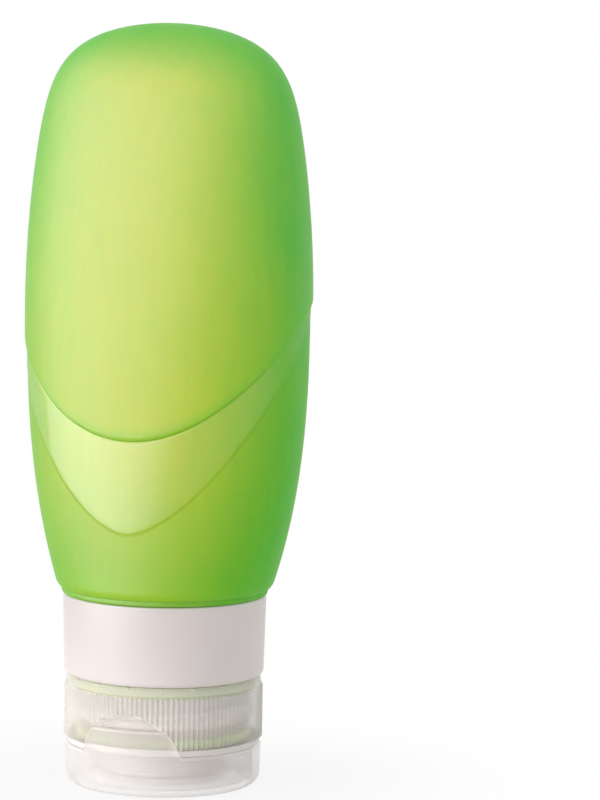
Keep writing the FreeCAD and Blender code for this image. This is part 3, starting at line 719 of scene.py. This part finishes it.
cap_radius = np.vstack([skirt_radius[:1] - 0.12, skirt_radius, cap_inside[:, :1] * np.ones(CAP_COLUMNS)])
cap_level = np.concatenate([[CAP_BOTTOM], skirt_level, cap_inside[:, 1]])[:, None] * np.ones(CAP_COLUMNS)
cap_grid = np.stack([cap_radius * np.cos(cap_angle), cap_radius * np.sin(cap_angle), cap_level], axis=-1)
cap_dense = np.vstack([skirt_dense[:1], skirt_dense, np.full((len(cap_inside), CAP_COLUMNS), -0.08)])
cap = skin("ribbed_cap", cap_grid, ring=True, crease=38, dense=cap_dense)
cap_thread = thread("cap_thread", CAP_BORE, CAP_THREAD_TIP, CAP_THREAD_TURN, THREAD_START + THREAD_LEAD / 2)

frost = Finish(bpy.data.materials.new("frosted_plastic"))
frost_grain = frost.grain(1.5, 3.0)
frosted_plastic = frost.surface(
    Base_Color=frost.mixed(frost.grain(7.0), paint(254, 250, 248), paint(250, 245, 242)),
    Roughness=0.32 + frost_grain * 0.08,
    Alpha=0.34 + frost.mark("dense") * 0.66 + (frost_grain - 0.5) * 0.03,
    Transmission_Weight=0.15,
    IOR=1.2,
)
for piece in (cap, cap_thread):
    piece.data.materials.append(frosted_plastic)
    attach(piece, "cap")
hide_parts("screw_cap")

# The deck, the turret and the skirt's plain foot are thicker and look milkier than the ribbed wall.
cap.data.materials.append(milky_plastic)
face_middles = np.empty(3 * len(cap.data.polygons))
cap.data.polygons.foreach_get("center", face_middles)
middle_x, middle_y, middle_z = face_middles.reshape(-1, 3).T / MM
in_deck = (np.hypot(middle_x, middle_y) < CAP_BORE - 0.1) & (middle_z < DECK_TOP + 0.15)
in_foot = middle_z < RIB_BOTTOM + 0.16
cap.data.polygons.foreach_set("material_index", (in_deck | in_foot).astype(np.int32))


# Sealing washer. A flat ring of pale green silicone on the deck, pressed by the neck's foot; it shows
# as a tinted band through the frosted skirt.

WASHER_COLUMNS = 144
washer_profile = np.array([
    (12.6, 8.9), (16.25, 8.9), (16.4, 8.97), (16.45, 9.15), (16.45, 10.25), (16.4, 10.43), (16.25, 10.5),
    (12.6, 10.5), (12.5, 10.43), (12.45, 10.3), (12.45, 9.1), (12.5, 8.97),
])
washer = skin("green_washer", turned(washer_profile, around(WASHER_COLUMNS)), ring=True, crease=50)
washer.data.materials.append(clear_silicone)
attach(washer, "cap")
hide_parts("sealing_washer")


# Slit valve and its retainer. A thin silicone disc in the turret with a cross slit that opens when the
# bottle is squeezed; a pressed-in ring of milky plastic holds its rim.

SLIT_LENGTH = 2.8
SLIT_DEPTH = 0.25
SLIT_HALF_ANGLE = np.radians(1.2)
VALVE_MIDDLE = 3.8
sector = np.radians(np.concatenate([[-1.8, -1.0, 0.0, 1.0, 1.8], np.linspace(3.6, 86.4, 28)]))
valve_angle = np.concatenate([sector + np.pi / 2 * arm for arm in range(4)])
valve_profile = np.array([
    (0.0, 4.1), (0.1, 4.1), (1.4, 4.1), (2.7, 4.1), (2.9, 4.1), (4.3, 4.1), (4.5, 4.2), (4.9, 4.65),
    (5.1, 4.7), (10.2, 4.7), (10.35, 4.55), (10.35, 3.65), (10.2, 3.5), (4.6, 3.5), (2.9, 3.5), (2.7, 3.5),
    (1.4, 3.5), (0.1, 3.5), (0.0, 3.5),
])
valve_radius, valve_level = valve_profile[:, :1], valve_profile[:, 1:]
valve_grid = turned(valve_profile, valve_angle)
from_arm = np.abs((valve_angle + np.pi / 4) % (np.pi / 2) - np.pi / 4)
slit = (from_arm < SLIT_HALF_ANGLE) * (valve_radius < SLIT_LENGTH) * (valve_radius > 0)
valve_grid[..., 2] += slit * np.where(valve_level > VALVE_MIDDLE, -SLIT_DEPTH, SLIT_DEPTH)
valve_marks = np.ones(valve_grid.shape[:2])
valve = skin("slit_valve_disc", valve_grid, crease=50, rough=0.5 * valve_marks, thin=0.9 * valve_marks)
valve.data.materials.append(green_silicone)
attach(valve, "cap")
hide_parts("slit_valve")
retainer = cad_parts["valve_retainer"]
retainer.data.materials.clear()
retainer.data.materials.append(milky_plastic)


# Hinge. A film with a bead on the axis between two flared straps, all moulded with cap and lid in one
# shot; the straps stretch past the middle and snap the lid open.

HINGE_OUTER = 18.35
HINGE_INNER = 17.55
HINGE_OFFSET = 18.8
BEAD_RADIUS = 0.5
BEAD_ROOT = 0.34
BEAD_WRAP = np.radians(140)
FILM_GAP = 0.15
STRAP_END_HOLLOW = 0.8
STRAP_STEPS = 29


def strap(name, side):
    """Curved blade on the wall's cylinder: it widens along the flare, and its end is hollowed.

    Each row is a loop up the outside and down the inside; the end rows fold flat to close the blade.
    """
    along = np.linspace(0, 1, 26)[:, None]
    up = np.linspace(-1, 1, STRAP_STEPS)
    z = flare(FILM_SPAN + (STRAP_SPAN - FILM_SPAN) * along) * np.concatenate([up, up[::-1]])
    end = STRAP_SPAN - STRAP_END_HOLLOW * (1 - (z / STRAP_HALF_HEIGHT) ** 2)
    x = FILM_SPAN + (end - FILM_SPAN) * along
    radius = np.repeat([HINGE_OUTER, HINGE_INNER], STRAP_STEPS)
    grid = np.stack([side * x, np.sqrt(radius ** 2 - x ** 2), HINGE_LEVEL + z], axis=-1)
    outside = grid[:, :STRAP_STEPS]
    folded = np.concatenate([outside, outside[:, ::-1]], axis=1)
    dense = 0.1 + 0.7 * np.vstack([along[:1], along, along[-1:]]) ** 8 * np.ones(2 * STRAP_STEPS)
    return skin(name, np.concatenate([folded[:1], grid, folded[-1:]]), crease=40, dense=dense)


film_x = np.linspace(FILM_GAP - FILM_SPAN, FILM_SPAN - FILM_GAP, 25)[:, None]
film_flat = np.linspace(-FILM_HALF_HEIGHT, FILM_HALF_HEIGHT, 9)
bead_turn = np.linspace(BEAD_WRAP, -BEAD_WRAP, 17)
film_inner = np.sqrt(HINGE_INNER ** 2 - film_x ** 2)
film_outer = np.sqrt(HINGE_OUTER ** 2 - film_x ** 2)
bead_y = HINGE_OFFSET + BEAD_RADIUS * np.cos(bead_turn) + 0 * film_x
bead_z = BEAD_RADIUS * np.sin(bead_turn)
beside = np.array([FILM_HALF_HEIGHT, BEAD_ROOT])
film_loop = [film_inner + 0 * film_flat, film_outer, film_outer, bead_y, film_outer, film_outer]
film_y = np.concatenate(film_loop, axis=1)
film_z = np.concatenate([film_flat, beside, bead_z, -beside[::-1]]) + 0 * film_y
film_grid = np.stack([film_x + 0 * film_y, film_y, HINGE_LEVEL + film_z], axis=-1)
film_ends = [np.broadcast_to(row[:, 4:5], row.shape) for row in (film_grid[:1], film_grid[-1:])]
film = skin("hinge_film_strip", np.concatenate([film_ends[0], film_grid, film_ends[1]]), crease=40)
hinge_pieces = (
    (film, "hinge_film", FILM_HALF_HEIGHT),
    (strap("hinge_strap_l", -1), "hinge_strap_left", STRAP_HALF_HEIGHT),
    (strap("hinge_strap_r", 1), "hinge_strap_right", STRAP_HALF_HEIGHT),
)
for piece, node, half in hinge_pieces:
    piece.data.materials.append(frosted_plastic)
    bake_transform(piece)
    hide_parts(node)


# Flip lid. A shallow frosted cup with a rounded foot that the bottle stands on, a plug that shuts the
# spout, a low ring round the turret, and a tongue that runs up into the thumb scoop of the cap.

LID_RADIUS = 18.35
LID_FOOT_RADIUS = 18.1
LID_FOOT_ROUND = 2.2
LID_RIM_ROUND = 0.3
LID_INSIDE = 16.85
LID_FLOOR = 1.3
LID_RING_INNER = 12.05
LID_RING_OUTER = 12.95
LID_RING_TOP = 2.9
PLUG_RADIUS = 4.4
PLUG_TOP = 2.65
TONGUE_TIP = LID_HEIGHT + 4.9
TONGUE_BASE = LID_HEIGHT - 0.4
TONGUE_INSIDE = 17.3
TONGUE_GAP = 0.2
LID_COLUMNS = 600
lid_angle = around(LID_COLUMNS)
lid_x = LID_RADIUS * np.cos(lid_angle)
lid_round = np.ones(LID_COLUMNS)
arch = np.sqrt(np.clip((THUMB_RADIUS - TONGUE_GAP) ** 2 - lid_x ** 2, 0, None)) + THUMB_LEVEL
lid_top = np.where(np.sin(lid_angle) < 0, np.clip(arch, LID_HEIGHT, TONGUE_TIP), LID_HEIGHT)


def lid_wall(level):
    """Outside radius of the lid: a drafted wall with the hinge pocket sunk into its back."""
    radius = LID_FOOT_RADIUS + (LID_RADIUS - LID_FOOT_RADIUS) * level / LID_HEIGHT
    pocket = np.where(np.sin(lid_angle) > 0, pocket_depth(lid_x + 0 * level, level), 0)
    return radius + (POCKET_FLOOR - radius) * pocket


foot_share = np.linspace(0, np.pi / 2, 10)[:, None]
foot_level = LID_FOOT_ROUND * (1 - np.cos(foot_share)) * lid_round
foot_radius = lid_wall(foot_level) - LID_FOOT_ROUND * (1 - np.sin(foot_share))
wall_level = np.linspace(LID_FOOT_ROUND + 0.15, LID_HEIGHT - 0.5, 26)[:, None] * lid_round
tongue_level = TONGUE_BASE + (lid_top - LID_RIM_ROUND - TONGUE_BASE) * np.linspace(0, 1, 24)[:, None]
rim_share = np.linspace(0.15, 1, 6)[:, None] * np.pi / 2
rim_level = lid_top - LID_RIM_ROUND * (1 - np.sin(rim_share))
rim_radius = lid_wall(tongue_level[-1:]) - LID_RIM_ROUND * (1 - np.cos(rim_share))
back_level = lid_top + (LID_HEIGHT - lid_top) * np.linspace(0, 1, 14)[:, None]
lid_inside = np.array([
    (LID_INSIDE + 0.1, LID_HEIGHT), (LID_INSIDE, LID_HEIGHT - 0.1), (LID_INSIDE, LID_FLOOR + 0.3),
    (LID_INSIDE - 0.3, LID_FLOOR), (LID_RING_OUTER + 0.1, LID_FLOOR), (LID_RING_OUTER, LID_FLOOR + 0.1),
    (LID_RING_OUTER, LID_RING_TOP - 0.1), (LID_RING_OUTER - 0.1, LID_RING_TOP),
    (LID_RING_INNER + 0.1, LID_RING_TOP), (LID_RING_INNER, LID_RING_TOP - 0.1),
    (LID_RING_INNER, LID_FLOOR + 0.1), (LID_RING_INNER - 0.1, LID_FLOOR), (PLUG_RADIUS + 0.2, LID_FLOOR),
    (PLUG_RADIUS, LID_FLOOR + 0.15), (PLUG_RADIUS, PLUG_TOP - 0.15), (PLUG_RADIUS - 0.1, PLUG_TOP),
    (0.0, PLUG_TOP),
])
under_radius = np.array([0.0, 4.0, 8.0, 12.0, 15.0])[:, None] * lid_round
lid_radius = np.vstack([
    under_radius, foot_radius, lid_wall(wall_level), lid_wall(tongue_level), rim_radius,
    TONGUE_INSIDE + 0 * back_level, lid_inside[:, :1] * lid_round,
])
lid_level = np.vstack([
    0 * under_radius, foot_level, wall_level, tongue_level, rim_level, back_level,
    lid_inside[:, 1:] * lid_round,
])
lid_grid = np.stack([lid_radius * np.cos(lid_angle), lid_radius * np.sin(lid_angle), lid_level], axis=-1)
at_rim = smooth((lid_level - lid_top + 0.5) / 0.3)
at_base = smooth((LID_FLOOR - lid_level) / 0.3) * smooth((lid_radius - 15.5) / 0.5)
on_wall = smooth((lid_level - 1.5) / 0.5) * (1 - at_rim)
lid_dense = 0.35 * at_rim + 0.2 * at_base - 0.04 * on_wall
lid = skin("flip_lid_cup", lid_grid, crease=38, dense=lid_dense)
lid.data.materials.append(frosted_plastic)
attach(lid, "lid")
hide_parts("flip_lid")


# Stage. A white floor that keeps the bottle's shadow close to its foot and fades to plain white
# further off, under a white sky that lights less than it shows.

FLOOR_SIZE = 6.0
FLOOR_GREY = (0.86, 0.86, 0.86, 1)
WHITE = (1, 1, 1, 1)
SHADOW_START = 0.018
SHADOW_END = 0.08
SHADOW_WHITE = 0.85
SKY_LIGHT = 0.66


def seen(finish):
    """1 for the rays that see the background: straight, mirrored or through clear plastic, else 0."""
    straight, mirrored, through = (
        finish.node("ShaderNodeLightPath", {}, {}, f"Is {kind} Ray")
        for kind in ("Camera", "Glossy", "Transmission"))
    added = {0: straight + mirrored, 1: through}
    return finish.node("ShaderNodeMath", {"operation": "ADD", "use_clamp": True}, added)


floor_mesh = bpy.data.meshes.new("floor")
floor_corners = np.array([(-1, -1, 0), (1, -1, 0), (1, 1, 0), (-1, 1, 0)]) * FLOOR_SIZE
floor_mesh.from_pydata(floor_corners, [], [(0, 1, 2, 3)])
floor = bpy.data.objects.new("floor", floor_mesh)
bpy.context.scene.collection.objects.link(floor)
paper = Finish(bpy.data.materials.new("floor_white"))
away = paper.node("ShaderNodeVectorMath", {"operation": "LENGTH"}, {0: paper.place()}, "Value")
far = paper.ramp(away, SHADOW_START, SHADOW_END, SHADOW_WHITE, "SMOOTHSTEP")
matt = paper.node("ShaderNodeBsdfDiffuse", {}, {"Color": FLOOR_GREY})
bright = paper.node("ShaderNodeEmission", {}, {"Color": WHITE, "Strength": 1.0})
both = paper.node("ShaderNodeMixShader", {}, {0: seen(paper) * far, 1: matt, 2: bright})
paper.node("ShaderNodeOutputMaterial", {}, {"Surface": both})
floor_mesh.materials.append(paper.owner)

sky = Finish(bpy.data.worlds.new("studio"))
sky_strength = SKY_LIGHT + seen(sky) * (1 - SKY_LIGHT)
lit = sky.node("ShaderNodeBackground", {}, {"Color": WHITE, "Strength": sky_strength})
sky.node("ShaderNodeOutputWorld", {}, {"Surface": lit})
bpy.context.scene.world = sky.owner


# Lamps. A square key on the left, a small low one for the cap and the lid, and a wide softbox close by
# that only reflects: it draws the bright shape in the polished band and fades towards its ends.

def lamp(name, place, aim, width, height, power):
    """Rectangular lamp at a place, in metres, turned to face the aim and hidden from the camera."""
    data = bpy.data.lights.new(name, "AREA")
    data.shape = "RECTANGLE"
    data.size = width
    data.size_y = height
    data.energy = power
    made = bpy.data.objects.new(name, data)
    made.location = place
    made.visible_camera = False
    made.rotation_euler = (Vector(aim) - Vector(place)).to_track_quat("-Z", "Y").to_euler()
    bpy.context.scene.collection.objects.link(made)
    return made


key = lamp("left_key", (-0.50, -0.66, 0.30), (0, 0, 0.07), width=0.6, height=0.6, power=1.95)
key.data.color = (1.0, 0.92, 0.9)
key.visible_glossy = False
low_key = lamp("low_key", (-0.17, -0.20, 0.022), (0, 0, 0.004), width=0.10, height=0.02, power=0.0045)
low_key.data.spread = np.radians(14)
low_key.visible_glossy = False
shine = lamp("left_shine", (-0.100, -0.130, 0.14), (0, 0, 0.13), width=0.36, height=0.27, power=1.3)
shine.visible_diffuse = False
veil = Finish(shine.data)
panel_place = veil.node("ShaderNodeNewGeometry", {}, {}, "Parametric")
across = veil.node("ShaderNodeSeparateXYZ", {}, {0: panel_place})
falloff = veil.ramp(across, 0.95, 0.55) * veil.ramp(across, 0.0, 0.4, low=0.35)
glow = veil.node("ShaderNodeEmission", {}, {"Strength": falloff})
veil.node("ShaderNodeOutputLight", {}, {"Surface": glow})


# Camera. A little above the bottle and about 22 degrees round from its front, with a long lens; the
# bottle stands at the left of the frame, as in the photograph.

CAMERA_TURN = np.radians(22.0)
CAMERA_DISTANCE = 0.80
CAMERA_HEIGHT = 0.1635
CAMERA_YAW = np.radians(1.77)
CAMERA_PITCH = np.radians(6.5)
CAMERA_ROLL = np.radians(0.93)
camera_data = bpy.data.cameras.new("camera")
camera_data.sensor_width = 36.0
camera_data.lens = 194.45
camera_data.clip_start = 0.05
camera_data.clip_end = 50.0
camera = bpy.data.objects.new("camera", camera_data)
camera_x = CAMERA_DISTANCE * np.sin(CAMERA_TURN)
camera_y = -CAMERA_DISTANCE * np.cos(CAMERA_TURN)
camera.location = (camera_x, camera_y, CAMERA_HEIGHT)
heading = Matrix.Rotation(CAMERA_TURN - CAMERA_YAW, 4, "Z")
tilt = Matrix.Rotation(np.pi / 2 - CAMERA_PITCH, 4, "X")
camera.rotation_euler = (heading @ tilt @ Matrix.Rotation(CAMERA_ROLL, 4, "Z")).to_euler()
bpy.context.scene.collection.objects.link(camera)
bpy.context.scene.camera = camera
bpy.context.scene.view_settings.view_transform = "Standard"
